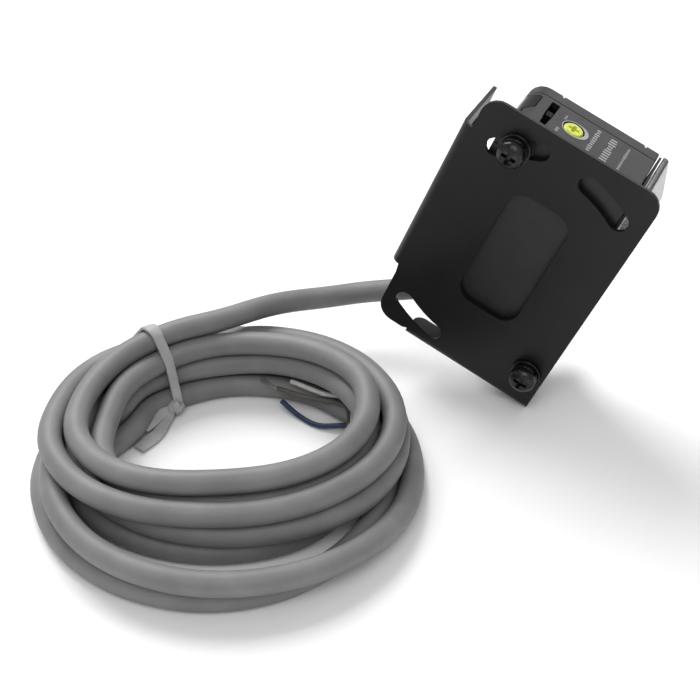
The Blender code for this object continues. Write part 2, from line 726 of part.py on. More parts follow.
def make_selector(upright):
    """The mode selector: a cap in the stepped slot, a tongue to one side and a finger down to the switch."""
    half = SELECTOR_NARROW / 2 + 0.0001
    near = SELECTOR_Y[1] + 2 * GAP
    far = near + SELECTOR_CAP
    finger_end = ADJUSTER_PLACE[0] - TRIMMER_SIDE / 2 - 2 * GAP
    low = CASE_TOP - WALL - 2 * GAP
    solids = {
        "selector_slider": (SELECTOR_X - half, SELECTOR_X + half, low, CASE_TOP - 2 * GAP),
        "selector_tongue": (SELECTOR_X - half, finger_end, low - 0.0007, low + 0.0001),
        "selector_finger": (finger_end - 0.0009, finger_end, switch_top() + GAP, low),
    }
    slider = None
    for name, outline in solids.items():
        look = "black_plastic" if slider is None else None
        made = add_solid(name, prism(box(*outline), near, far), upright, look)
        if slider is None:
            slider = made
        else:
            boolean(slider, made, "UNION")


def switch_top():
    return CASE_TOP - ADJUSTER_HEIGHT - TRIMMER_HEIGHT - 2 * GAP


def make_adjuster(upright):
    """The sensitivity adjuster: a slotted disc flush with the top, on the trimmer's shaft."""
    x, y = ADJUSTER_PLACE
    adjuster = add_solid(
        "adjuster",
        turned([(0, -ADJUSTER_HEIGHT), (ADJUSTER_RADIUS, -ADJUSTER_HEIGHT), (ADJUSTER_RADIUS, -0.0003),
                (ADJUSTER_RADIUS - 0.0003, 0), (0, 0)], 28),
        upright, "adjuster_plastic",
    )
    recess = prism(cross((0, 0), *ADJUSTER_RECESS), -ADJUSTER_RECESS_DEPTH, 0.001, "Z")
    cutter = add_solid("adjuster_recess", recess, upright)
    for piece in (adjuster, cutter):
        piece.location = (x, y, CASE_TOP + 0.0001)
    boolean(adjuster, cutter)
    half = TRIMMER_SIDE / 2
    high = CASE_TOP - ADJUSTER_HEIGHT - GAP
    trimmer = prism(box(x - half, x + half, y - half, y + half), high - TRIMMER_HEIGHT, high, "Z")
    add_solid("trimmer", trimmer, upright, "chip_resin")


def make_circuit(upright):
    board = prism(box(*BOARD_X, *BOARD_Z), BOARD_Y, BOARD_Y + BOARD_THICKNESS)
    add_solid("main_board", board, upright, "circuit_board")
    near = BOARD_Y - GAP
    for name, ((x, z), (wide, tall), height) in BOARD_PARTS.items():
        outline = box(x - wide / 2, x + wide / 2, z - tall / 2, z + tall / 2)
        look = "black_plastic" if name == "wire_terminal" else "chip_resin"
        add_solid(name, prism(outline, near - height, near), upright, look)
    can = [
        (0, -CAPACITOR_HEIGHT), (CAPACITOR_RADIUS - 0.0002, -CAPACITOR_HEIGHT),
        (CAPACITOR_RADIUS, -CAPACITOR_HEIGHT + 0.0004), (CAPACITOR_RADIUS, 0), (0, 0),
    ]
    add_solid("capacitor", turned(can, 20, along_y(*CAPACITOR_PLACE, near)), upright, "plated_steel")
    length, depth, height = SWITCH_SIZE
    high = switch_top()
    start_x = clamp_place()[0] + BOSS_RADIUS + 2 * GAP
    middle_y = SELECTOR_Y[1] + SELECTOR_WIDE / 2
    switch = prism(
        box(start_x, start_x + length, middle_y - depth / 2, middle_y + depth / 2), high - height, high, "Z"
    )
    add_solid("selector_switch", switch, upright, "chip_resin")
    low = clamp_place()[1] + BOSS_RADIUS + GAP
    for name, y in (("operation_led", INDICATOR_Y[0] - 0.0035), ("stability_led", INDICATOR_Y[1] - 0.0030)):
        outline = box(INDICATOR_X[1] - LED_SIDE / 2, INDICATOR_X[1] + LED_SIDE / 2, low, low + LED_HEIGHT)
        add_solid(name, prism(outline, y - LED_SIDE / 2, y + LED_SIDE / 2), upright, "led_resin")


# Cable


def gland_frame():
    """A frame at the middle of the slanted corner, with +Z straight out of the case."""
    slope = Vector((-CUT_HEIGHT, 0, -CUT_LENGTH)).normalized()
    middle_y = (CASE_NEAR + CASE_SEAM) / 2 + 0.0015
    middle = Vector((CASE_BACK + CUT_LENGTH / 2, middle_y, CASE_LOW + CUT_HEIGHT / 2))
    return Matrix.Translation(middle) @ slope.to_track_quat("Z", "Y").to_matrix().to_4x4()


def gland_neck():
    return GLAND_RADIUS - WALL / 2


def make_gland(upright):
    """A rubber bush moulded on the cable, with a groove that the case's wall sits in."""
    neck = gland_neck()
    profile = [
        (0, -WALL - GAP - 0.0014), (GLAND_RADIUS, -WALL - GAP - 0.0014), (GLAND_RADIUS, -WALL - GAP),
        (neck, -WALL - GAP), (neck, GAP), (GLAND_RADIUS, GAP), (GLAND_RADIUS, GAP + 0.0012),
        (CABLE_DIAMETER / 2 + 0.0006, GLAND_LENGTH), (0, GLAND_LENGTH),
    ]
    add_solid("cable_gland", turned(profile, 24, gland_frame()), upright, "rubber")


def smooth_route(points, spacing):
    """Points on a smooth curve through the route's own points, at about the given spacing."""
    points = [Vector(p) for p in points]
    padded = [2 * points[0] - points[1]] + points + [2 * points[-1] - points[-2]]
    route = [points[0]]
    for a, b, c, d in zip(padded, padded[1:], padded[2:], padded[3:]):
        steps = max(1, round((c - b).length / spacing))
        for k in range(1, steps + 1):
            t = k / steps
            route.append(0.5 * (
                2 * b + (c - a) * t + (2 * a - 5 * b + 4 * c - d) * t ** 2 + (3 * b - a - 3 * c + d) * t ** 3
            ))
    return route


def add_tube(name, points, diameter, look, parent, sides=2):
    curve = bpy.data.curves.new(name, "CURVE")
    curve.dimensions = "3D"
    curve.bevel_depth = diameter / 2
    curve.bevel_resolution = sides
    curve.use_fill_caps = True
    spline = curve.splines.new("POLY")
    spline.points.add(len(points) - 1)
    for point, place in zip(spline.points, points):
        point.co = (*place, 1)
    curve.materials.append(finish(look))
    made = bpy.data.objects.new(name, curve)
    bpy.context.scene.collection.objects.link(made)
    made.parent = parent


def make_cable(stand, lean):
    """The lead from the gland to the coil, and the coil's outer shape with its tie."""
    exit_frame = lean @ gland_frame()
    start = exit_frame @ Vector((0, 0, GLAND_LENGTH + GAP))
    straight = exit_frame @ Vector((0, 0, GLAND_LENGTH + CABLE_DIAMETER))
    route = smooth_route([start, straight] + LEAD_ROUTE, CABLE_DIAMETER)
    add_tube("cable_lead", route, CABLE_DIAMETER, "cable_jacket", stand, sides=3)
    place = Matrix.Translation((*COIL_CENTRE, 0))
    edge = CABLE_DIAMETER / 2
    high = COIL_HEIGHT
    section = [
        (COIL_INNER + edge / 2, 0), (COIL_OUTER - edge / 2, 0),
        (COIL_OUTER, edge / 2), (COIL_OUTER, high - edge / 2),
        (COIL_OUTER - edge / 2, high), (COIL_INNER + edge / 2, high),
        (COIL_INNER, high - edge / 2), (COIL_INNER, edge / 2),
    ]
    add_solid("cable_coil", turned(section, 64, place, closed=True), stand, "cable_jacket")
    make_tie(stand)


def make_tie(stand):
    """A flat tie over the coil, with its twisted end and two tails inside the ring."""
    frame = Matrix.Translation((*COIL_CENTRE, 0)) @ Matrix.Rotation(TIE_ANGLE, 4, "Z")
    low = 0.0004
    inner = (COIL_INNER - GAP, COIL_OUTER + GAP, COIL_HEIGHT + GAP)
    outer = (inner[0] - TIE_THICKNESS, inner[1] + TIE_THICKNESS, inner[2] + TIE_THICKNESS)
    outline = [
        (outer[0], low), (inner[0], low), (inner[0], inner[2]), (inner[1], inner[2]),
        (inner[1], low), (outer[1], low), (outer[1], outer[2]), (outer[0], outer[2]),
    ]
    tie = add_solid("cable_tie", prism(outline, -TIE_WIDTH / 2, TIE_WIDTH / 2), stand, "tie_nylon")
    tail_start = outer[0] - GAP
    tails = prism(
        [(tail_start, low), (tail_start, low + 0.0040), (tail_start - 0.0025, low + 0.0044),
         (tail_start - TAIL_LENGTH, low + 0.0022), (tail_start - TAIL_LENGTH, low)],
        -0.0008, 0.0008,
    )
    tail = add_solid("tie_tail", tails, stand, "tie_nylon")
    for piece in (tie, tail):
        piece.data.transform(frame)


def make_wire_ends(stand):
    """The stripped conductors, which leave the cable's end at the coil's inner face."""
    for name, places in WIRE_ROUTES.items():
        points = [(COIL_CENTRE[0] + x, COIL_CENTRE[1] + y, z) for (x, y), z in zip(places, WIRE_HEIGHTS)]
        look = name.split("_")[1] + "_wire"
        add_tube(name, smooth_route(points, 3 * WIRE_DIAMETER), WIRE_DIAMETER, look, stand)


def main():
    for obj in list(bpy.data.objects):
        bpy.data.objects.remove(obj, do_unlink=True)
    upright = add_empty("upright_frame")
    lean = (
        Matrix.Translation((*STAND, 0))
        @ Matrix.Rotation(LEAN, 4, "Y")
        @ Matrix.Translation((-PLATE_LENGTH, 0, 0))
    )
    upright.matrix_world = lean
    make_bracket(upright)
    make_fasteners(upright)
    make_case(upright)
    make_side_cover(upright)
    make_indicator_window(upright)
    make_lens_cover(upright)
    make_cover_seal(upright)
    make_optics(upright)
    make_selector(upright)
    make_adjuster(upright)
    make_circuit(upright)
    make_gland(upright)
    stand = add_empty("floor_frame")
    make_cable(stand, lean)
    make_wire_ends(stand)


main()
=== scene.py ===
"""Photoelectric sensor on its adjusting bracket, with a tied coil of cable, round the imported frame.

Metres throughout. It is put together in this order: studio, cable, tie, conductors, bracket, fasteners, case,
printing, indicator window, lens cover, adjuster and slider, rubber, inside.
"""

import math

import bmesh
import bpy
import numpy as np
from mathutils import Matrix, Vector


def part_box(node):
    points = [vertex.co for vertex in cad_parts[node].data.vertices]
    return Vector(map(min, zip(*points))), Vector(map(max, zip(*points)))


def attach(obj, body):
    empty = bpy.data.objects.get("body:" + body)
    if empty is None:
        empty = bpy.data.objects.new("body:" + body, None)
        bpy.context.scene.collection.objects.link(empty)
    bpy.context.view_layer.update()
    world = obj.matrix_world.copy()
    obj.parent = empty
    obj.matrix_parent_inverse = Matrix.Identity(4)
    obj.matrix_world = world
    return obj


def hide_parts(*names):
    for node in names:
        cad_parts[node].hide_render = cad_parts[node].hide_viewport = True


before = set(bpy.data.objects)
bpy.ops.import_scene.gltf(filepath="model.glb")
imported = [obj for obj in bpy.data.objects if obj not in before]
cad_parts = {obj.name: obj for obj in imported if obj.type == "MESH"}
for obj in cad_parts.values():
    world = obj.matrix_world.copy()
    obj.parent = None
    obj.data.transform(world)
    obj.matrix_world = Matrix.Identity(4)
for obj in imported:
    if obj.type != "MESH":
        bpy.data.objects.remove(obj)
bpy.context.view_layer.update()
scene = bpy.context.scene

# Studio. A white floor under soft light from behind on the left, so shadows fall softly towards
# the front right, and a long-lens camera that looks down across the bracket's face.

CAMERA_PLACE = (0.0846, -0.2866, 0.2263)
CAMERA_DOWN = 36.2
CAMERA_TURN = 24.9
FLOOR_REACH = 3.0

camera = bpy.data.objects.new("camera", bpy.data.cameras.new("camera"))
scene.collection.objects.link(camera)
camera.location = CAMERA_PLACE
camera.rotation_euler = (math.radians(90 - CAMERA_DOWN), 0, math.radians(CAMERA_TURN))
camera.data.sensor_width = 36.0
camera.data.lens = 70.4
camera.data.clip_start = 0.01
scene.camera = camera
scene.view_settings.view_transform = "Standard"

world = bpy.data.worlds.new("studio")
world.use_nodes = True
sky = world.node_tree.nodes["Background"]
sky.inputs["Color"].default_value = (1.0, 1.0, 1.0, 1.0)
sky.inputs["Strength"].default_value = 0.50
scene.world = world


def soft_box(name, place, target, size, power):
    light = bpy.data.objects.new(name, bpy.data.lights.new(name, "AREA"))
    scene.collection.objects.link(light)
    light.location = place
    light.rotation_euler = (Vector(target) - Vector(place)).to_track_quat("-Z", "Y").to_euler()
    light.data.size = size
    light.data.energy = power


soft_box("key_light", (-0.55, 0.35, 0.80), (-0.02, -0.04, 0.02), 0.55, 9.0)
soft_box("back_light", (0.18, 0.80, 0.48), (0.0, 0.0, 0.05), 0.50, 1.2)
soft_box("fill_light", (0.20, -0.60, 0.85), (0.0, 0.0, 0.03), 0.60, 3.0)

floor = bpy.data.objects.new("floor", bpy.data.meshes.new("floor"))
scene.collection.objects.link(floor)
floor_corners = [(a * FLOOR_REACH, b * FLOOR_REACH, 0) for a, b in ((-1, -1), (1, -1), (1, 1), (-1, 1))]
floor.data.from_pydata(floor_corners, [], [(0, 1, 2, 3)])
floor_paper = bpy.data.materials.new("floor_paper")
floor_paper.use_nodes = True
paper_shader = floor_paper.node_tree.nodes["Principled BSDF"]
paper_shader.inputs["Base Color"].default_value = (0.92, 0.92, 0.92, 1.0)
paper_shader.inputs["Roughness"].default_value = 0.9
paper_shader.inputs["Specular IOR Level"].default_value = 0.1
floor.data.materials.append(floor_paper)

# Cable. 6 mm sensor cable with an extruded grey vinyl jacket, nearly two metres of it. It leaves
# the gland, sags, climbs over the coil and winds down through some seven and three quarter turns
# to its stripped end. The turns' loose lie is listed and then pressed apart to one diameter.

CABLE_DIAMETER = 0.0060
COIL_CENTRE = np.array((-0.0506, -0.0663))
LEAD_ROUTE = [
    (-0.0252, 0.0006, 0.0229),
    (-0.0310, 0.0006, 0.0206),
    (-0.0440, 0.0004, 0.0160),
    (-0.0530, -0.0068, 0.0160),
    (-0.0600, -0.0175, 0.0190),
    (-0.0655, -0.0262, 0.0201),
    (-0.0705, -0.0336, 0.0201),
]
END_ANGLE = 406.0 + 360 * 7
END_PLACE = (33.6, 3.0)
TURN_GAP = 0.00006
STATIONS = (144.0, 204.0, 295.0, 390.0, 466.0)  # degrees round the coil, at which each turn's place is set
TURNS = [  # (radius, height) of each turn at the tie, left, front, right and back, in mm
    [(37.5, 18.6), (36.6, 16.5), (24.8, 19.5), (34.4, 19.0), (34.5, 15.6)],
    [(34.5, 13.2), (32.0, 11.0), (25.2, 13.3), (34.6, 13.2), (34.3, 9.7)],
    [(34.6, 8.6), (37.0, 4.6), (30.2, 3.0), (35.5, 8.2), (39.9, 7.2)],
    [(37.5, 3.0), (36.6, 8.8), (30.8, 9.0), (42.0, 9.2), (46.0, 8.5)],
    [(41.5, 14.2), (43.0, 14.0), (30.6, 15.0), (41.0, 15.0), (41.1, 13.0)],
    [(40.5, 8.2), (42.3, 8.0), (46.2, 8.8), (44.7, 3.0), (44.0, 3.0)],
    [(43.5, 3.0), (45.0, 3.0), (44.9, 3.0), (38.9, 3.0), (33.0, 3.0)],
    [(33.6, 3.0), (33.2, 3.0), (24.8, 6.5), (32.9, 3.0)],
]


def smooth_curve(points, spacing):
    """Points about one spacing apart on a smooth curve through the given ones."""
    points = np.asarray(points, float)
    padded = np.vstack([2 * points[0] - points[1], points, 2 * points[-1] - points[-2]])
    made = [points[0]]
    for a, b, c, d in zip(padded, padded[1:], padded[2:], padded[3:]):
        steps = max(1, round(np.linalg.norm(c - b) / spacing))
        for t in np.arange(1, steps + 1) / steps:
            made.append(0.5 * (2 * b + (c - a) * t + (2 * a - 5 * b + 4 * c - d) * t**2
                               + (3 * b - a - 3 * c + d) * t**3))
    return np.array(made)


def resampled(points, spacing):
    """The same line with its points evenly spaced."""
    steps = np.concatenate([[0], np.cumsum(np.linalg.norm(np.diff(points, axis=0), axis=1))])
    count = round(steps[-1] / spacing)
    wanted = np.linspace(0, steps[-1], count + 1)
    return np.column_stack([np.interp(wanted, steps, points[:, k]) for k in range(3)])


def settled(points, diameter, fixed, rounds=160):
    """The turns pushed apart to one diameter, kept smooth and kept on the floor."""
    points = points.copy()
    spacing = np.linalg.norm(points[1] - points[0])
    near = round(2.5 * diameter / spacing)
    apart = np.abs(np.subtract.outer(np.arange(len(points)), np.arange(len(points)))) > near
    for _ in range(rounds):
        between = points[:, None] - points[None]
        distance = np.linalg.norm(between, axis=2)
        pressed = apart & (distance < diameter)
        push = np.where(pressed, (diameter - distance) / np.maximum(distance, 1e-6), 0)
        move = 0.30 * (between * push[..., None]).sum(axis=1)
        move[:fixed] = 0
        points += move
        eased = points.copy()
        eased[2:-2] = (
            -points[:-4] + 4 * points[1:-3] + 10 * points[2:-2] + 4 * points[3:-1] - points[4:]
        ) / 16
        points[fixed:] = 0.5 * points[fixed:] + 0.5 * eased[fixed:]
        points[:, 2] = np.maximum(points[:, 2], diameter / 2)
    return points


coil_angles, coil_places = [], []
for turn, places in enumerate(TURNS):
    for station, place in zip(STATIONS, places):
        coil_angles.append(station + 360 * turn)
        coil_places.append(place)
coil_angles.append(END_ANGLE)
coil_places.append(END_PLACE)
coil_track = smooth_curve(np.column_stack([np.array(coil_angles) / 10, coil_places]), 1.0)
turned = np.radians(coil_track[:, 0] * 10)
coil_points = np.column_stack([
    COIL_CENTRE[0] + coil_track[:, 1] * np.cos(turned) / 1000,
    COIL_CENTRE[1] + coil_track[:, 1] * np.sin(turned) / 1000,
    coil_track[:, 2] / 1000,
])
cable_path = resampled(smooth_curve(LEAD_ROUTE + [tuple(p) for p in coil_points[::2]], 0.0015), 0.0022)
cable_path = settled(cable_path, CABLE_DIAMETER + TURN_GAP, fixed=12)
cable_path = resampled(cable_path, 0.0025)


def round_tube(name, points, radius, sides=16):
    """A tube along the points, closed at both ends."""
    points = np.asarray(points, float)
    tangents = np.gradient(points, axis=0)
    tangents /= np.linalg.norm(tangents, axis=1)[:, None]
    normal = np.cross(tangents[0], (0, 0, 1.0))
    normals = []
    for tangent in tangents:
        normal = normal - tangent * normal.dot(tangent)
        normal /= np.linalg.norm(normal)
        normals.append(normal)
    normals = np.array(normals)
    binormals = np.cross(tangents, normals)
    angles = np.arange(sides) * math.tau / sides
    rings = (points[:, None] + radius * (np.cos(angles)[None, :, None] * normals[:, None]
                                         + np.sin(angles)[None, :, None] * binormals[:, None]))
    verts = rings.reshape(-1, 3).tolist()
    faces = []
    for row in range(len(points) - 1):
        for side in range(sides):
            step = (side + 1) % sides
            low, high = row * sides, (row + 1) * sides
            faces.append((low + side, low + step, high + step, high + side))
    faces.append(tuple(range(sides - 1, -1, -1)))
    faces.append(tuple((len(points) - 1) * sides + side for side in range(sides)))
    mesh = bpy.data.meshes.new(name)
    mesh.from_pydata(verts, [], faces)
    mesh.shade_smooth()
    mesh.set_sharp_from_angle(angle=math.radians(50))
    tube = bpy.data.objects.new(name, mesh)
    scene.collection.objects.link(tube)
    return tube


def new_material(name, colour, roughness, metallic=0.0):
    """A material and its shader, for a section to add detail to."""
    material = bpy.data.materials.new(name)
    material.use_nodes = True
    shader = material.node_tree.nodes["Principled BSDF"]
    shader.inputs["Base Color"].default_value = (*colour, 1.0)
    shader.inputs["Roughness"].default_value = roughness
    shader.inputs["Metallic"].default_value = metallic
    return material, shader


def add_node(material, kind, inputs=None):
    node = material.node_tree.nodes.new(kind)
    for key, value in (inputs or {}).items():
        node.inputs[key].default_value = value
    return node


def link(material, start, end):
    material.node_tree.links.new(start, end)


def mottle(material, shader, colours, scale, detail=6.0):
    """Colour that wanders between two close tones."""
    coords = add_node(material, "ShaderNodeTexCoord")
    noise = add_node(material, "ShaderNodeTexNoise", {"Scale": scale, "Detail": detail})
    ramp = add_node(material, "ShaderNodeValToRGB")
    ramp.color_ramp.elements[0].position = 0.35
    ramp.color_ramp.elements[1].position = 0.65
    ramp.color_ramp.elements[0].color = (*colours[0], 1.0)
    ramp.color_ramp.elements[1].color = (*colours[1], 1.0)
    link(material, coords.outputs["Object"], noise.inputs["Vector"])
    link(material, noise.outputs["Fac"], ramp.inputs["Fac"])
    link(material, ramp.outputs["Color"], shader.inputs["Base Color"])


def grain(material, shader, scale, strength, distance, roughness):
    """Fine bump, and roughness that varies with a broader noise."""
    coords = add_node(material, "ShaderNodeTexCoord")
    noise = add_node(material, "ShaderNodeTexNoise", {"Scale": scale, "Detail": 3.0})
    bump = add_node(material, "ShaderNodeBump", {"Strength": strength, "Distance": distance})
    link(material, coords.outputs["Object"], noise.inputs["Vector"])
    link(material, noise.outputs["Fac"], bump.inputs["Height"])
    link(material, bump.outputs["Normal"], shader.inputs["Normal"])
    broad = add_node(material, "ShaderNodeTexNoise", {"Scale": scale / 12, "Detail": 4.0})
    spread = add_node(material, "ShaderNodeMapRange", {"To Min": roughness[0], "To Max": roughness[1]})
    link(material, coords.outputs["Object"], broad.inputs["Vector"])
    link(material, broad.outputs["Fac"], spread.inputs["Value"])
    link(material, spread.outputs["Result"], shader.inputs["Roughness"])


vinyl, vinyl_shader = new_material("cable_vinyl", (0.19, 0.19, 0.19), 0.55)
mottle(vinyl, vinyl_shader, ((0.165, 0.165, 0.165), (0.205, 0.205, 0.205)), 90.0)
grain(vinyl, vinyl_shader, 2600.0, 0.25, 0.0002, (0.48, 0.62))
cable = round_tube("cable", cable_path, CABLE_DIAMETER / 2)
cable.data.materials.append(vinyl)
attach(cable, "sensor")
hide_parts("cable_lead", "cable_coil")

# Tie. A flat grey nylon tie goes once over the bundle. Its two ends are twisted together inside
# the coil, and its cut tails lie in the ring.

TIE_WIDTH = 0.0034
TIE_END_WIDTH = 0.0020
TIE_THICKNESS = 0.0009
TIE_ANGLE = 147.0
TIE_SLANT = 0.16
WRAP_INSIDE, WRAP_TOP, WRAP_OUTSIDE = 205, 100, -25  # degrees of lean round the bundle
tie_out = np.array((math.cos(math.radians(TIE_ANGLE)), math.sin(math.radians(TIE_ANGLE)), 0.0))
tie_along = np.array((-tie_out[1], tie_out[0], 0.0))
tie_centre = np.array((*COIL_CENTRE, 0.0))


def ribbon(name, centres, across, outward, widths, thickness):
    """A closed flat strip through the centres, its width along across and its thickness outward."""
    corners = []
    for centre, side, up, width in zip(centres, across, outward, widths):
        side = side / np.linalg.norm(side)
        up = up / np.linalg.norm(up)
        for a, b in ((-1, -1), (1, -1), (1, 1), (-1, 1)):
            corners.append(centre + side * a * width / 2 + up * b * thickness / 2)
    faces = [(3, 2, 1, 0), tuple(len(corners) - 4 + k for k in range(4))]
    for row in range(len(centres) - 1):
        for k in range(4):
            step = (k + 1) % 4
            faces.append((row * 4 + k, row * 4 + step, row * 4 + 4 + step, row * 4 + 4 + k))
    work = bmesh.new()
    verts = [work.verts.new(tuple(c)) for c in corners]
    for face in faces:
        work.faces.new([verts[k] for k in face])
    bmesh.ops.recalc_face_normals(work, faces=work.faces)
    mesh = bpy.data.meshes.new(name)
    work.to_mesh(mesh)
    work.free()
    strip = bpy.data.objects.new(name, mesh)
    scene.collection.objects.link(strip)
    bevel = strip.modifiers.new("rounded_edges", "BEVEL")
    bevel.width = thickness * 0.3
    bevel.segments = 2
    bevel.limit_method = "ANGLE"
    bevel.angle_limit = math.radians(50)
    mesh.shade_smooth()
    return strip


crossings = []  # (distance out, height) of every strand that the tie passes over
relative = cable_path - tie_centre
side_of = relative @ tie_along
for k in range(len(cable_path) - 1):
    if side_of[k] * side_of[k + 1] <= 0 and relative[k] @ tie_out > 0:
        crossings.append((relative[k] @ tie_out, cable_path[k][2]))
crossings = np.array(crossings)
leans = np.radians(np.linspace(WRAP_INSIDE, WRAP_OUTSIDE, 46))
wrap_points = []
for lean in leans:
    direction = np.array((math.cos(lean), math.sin(lean)))
    furthest = crossings[np.argmax(crossings @ direction)]
    wrap_points.append(furthest + direction * (CABLE_DIAMETER + TIE_THICKNESS) / 2)
wrap_points = np.array(wrap_points)
wrap_points[:, 1] = np.maximum(wrap_points[:, 1], TIE_THICKNESS)
slant = TIE_SLANT * (wrap_points[:, 0] - wrap_points[0, 0])
band_line = tie_centre + wrap_points[:, :1] * tie_out + slant[:, None] * tie_along
band_line[:, 2] = wrap_points[:, 1]
band_outward = [tie_out * math.cos(a) + np.array((0, 0, math.sin(a))) for a in leans]
band_widths = np.interp(
    np.degrees(leans), (WRAP_OUTSIDE, WRAP_TOP, WRAP_INSIDE), (TIE_WIDTH, TIE_WIDTH, TIE_END_WIDTH),
)
band = ribbon("tie_band", band_line, [tie_along] * len(leans), band_outward, band_widths, TIE_THICKNESS)
tie_pieces = [band]

KNOT_RADIUS = 0.0016
TWIST_TURNS = 1.1
TWIST_WIDTH = 0.0021
TAIL_THICKNESS = 0.0007
knot_start = band_line[0] + np.array((0.0004, -0.0002, 0.0020))
knot_end = np.array((-0.0752, -0.0526, 0.0024))
knot_axis = (knot_end - knot_start) / np.linalg.norm(knot_end - knot_start)
knot_side = np.cross(knot_axis, (0, 0, 1.0))
knot_side /= np.linalg.norm(knot_side)
knot_rise = np.cross(knot_side, knot_axis)
for number in range(2):
    angles = np.linspace(0, math.tau * TWIST_TURNS, 36) + math.pi * number
    spokes = [knot_side * math.cos(a) + knot_rise * math.sin(a) for a in angles]
    steps = np.linspace(0, 1, len(angles))
    swell = KNOT_RADIUS * np.interp(steps, (0, 0.3, 0.8, 1), (0.5, 1.0, 0.9, 0.4))
    twist_line = [
        knot_start + (knot_end - knot_start) * t + spoke * r for t, spoke, r in zip(steps, spokes, swell)
    ]
    twist_across = [knot_axis] * len(angles)
    twist_widths = [TWIST_WIDTH] * len(angles)
    tie_pieces.append(
        ribbon(f"tie_twist_{number}", twist_line, twist_across, spokes, twist_widths, TIE_THICKNESS)
    )

tails = {
    "tie_tail_upper": [
        (-0.0763, -0.0560, 0.0030), (-0.0772, -0.0590, 0.0026), (-0.0779, -0.0625, 0.0022),
    ],
    "tie_tail_lower": [
        (-0.0747, -0.0575, 0.0016), (-0.0745, -0.0620, 0.0010), (-0.0757, -0.0686, 0.0010),
    ],
}
for name, places in tails.items():
    line = smooth_curve([knot_end - knot_axis * 0.0008, *places], 0.0006)
    fraction = np.linspace(0, 1, len(line))
    flow = np.gradient(line, axis=0)
    across, outward = [], []
    for tangent, roll in zip(flow, np.radians(np.interp(fraction, (0, 0.45, 1), (62, 12, 4)))):
        level = np.cross(tangent, (0, 0, 1.0))
        level /= np.linalg.norm(level)
        rise = np.cross(level, tangent)
        rise /= np.linalg.norm(rise)
        across.append(level * math.cos(roll) + rise * math.sin(roll))
        outward.append(-level * math.sin(roll) + rise * math.cos(roll))
    widths = np.interp(fraction, (0, 0.35, 0.7, 1.0), (0.0018, 0.0030, 0.0035, 0.0032))
    tie_pieces.append(ribbon(name, line, across, outward, widths, TAIL_THICKNESS))

nylon, nylon_shader = new_material("tie_nylon_grey", (0.36, 0.36, 0.36), 0.5)
mottle(nylon, nylon_shader, ((0.33, 0.33, 0.335), (0.40, 0.40, 0.405)), 260.0)
ribs = add_node(nylon, "ShaderNodeTexWave", {"Scale": 700.0, "Distortion": 0.6, "Detail": 2.0})
ribs_bump = add_node(nylon, "ShaderNodeBump", {"Strength": 0.35, "Distance": 0.00008})
ribs_place = add_node(nylon, "ShaderNodeTexCoord")
ribs_turn = add_node(nylon, "ShaderNodeMapping", {"Rotation": (0.0, 0.0, math.radians(TIE_ANGLE + 90))})
link(nylon, ribs_place.outputs["Object"], ribs_turn.inputs["Vector"])
link(nylon, ribs_turn.outputs["Vector"], ribs.inputs["Vector"])
link(nylon, ribs.outputs["Fac"], ribs_bump.inputs["Height"])
link(nylon, ribs_bump.outputs["Normal"], nylon_shader.inputs["Normal"])
for piece in tie_pieces:
    piece.data.materials.append(nylon)
    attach(piece, "sensor")
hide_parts("cable_tie")
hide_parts("tie_tail")

# Conductors. Three thin insulated wires fan out of the jacket's end and lie over the lowest turn;
# the brown one shows its bare tinned copper strands, six of them round a seventh.

WIRE_DIAMETER = 0.0014
STRAND_RADIUS = 0.00011
STRAND_SPREAD = 0.00026
jacket_end = cable_path[-1]
wire_routes = {
    "wire_white": [
        (-0.0316, -0.0352, 0.0073), (-0.0399, -0.0354, 0.0072), (-0.0495, -0.0343, 0.0072),
    ],
    "wire_brown": [
        (-0.0327, -0.0365, 0.0062), (-0.0432, -0.0373, 0.0060), (-0.0521, -0.0372, 0.0060),
    ],
    "wire_blue": [
        (-0.0295, -0.0390, 0.0026), (-0.0382, -0.0408, 0.0010), (-0.0446, -0.0395, 0.0010),
        (-0.0506, -0.0380, 0.0030),
    ],
}
wire_looks = {
    "wire_white": ("white_insulation", (0.50, 0.50, 0.49), "white_wire"),
    "wire_brown": ("brown_insulation", (0.066, 0.057, 0.048), "brown_wire"),
    "wire_blue": ("blue_insulation", (0.004, 0.018, 0.066), "blue_wire"),
}
for number, (name, places) in enumerate(wire_routes.items()):
    start = jacket_end + np.array((-0.0006, 0.0008 - 0.0008 * number, 0.0002))
    line = smooth_curve([start, *places], 0.0010)
    wire = round_tube(name + "_insulated", line, WIRE_DIAMETER / 2, sides=10)
    look_name, colour, slot_name = wire_looks[name]
    insulation, insulation_shader = new_material(look_name, colour, 0.4)
    tones = [tuple(c * shade for c in colour) for shade in (0.85, 1.12)]
    mottle(insulation, insulation_shader, tones, 400.0)
    grain(insulation, insulation_shader, 4000.0, 0.15, 0.0001, (0.35, 0.50))
    wire.data.materials.append(insulation)
    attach(wire, "sensor")
    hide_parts(name)
    if name == "wire_brown":
        copper_start = line[-1]

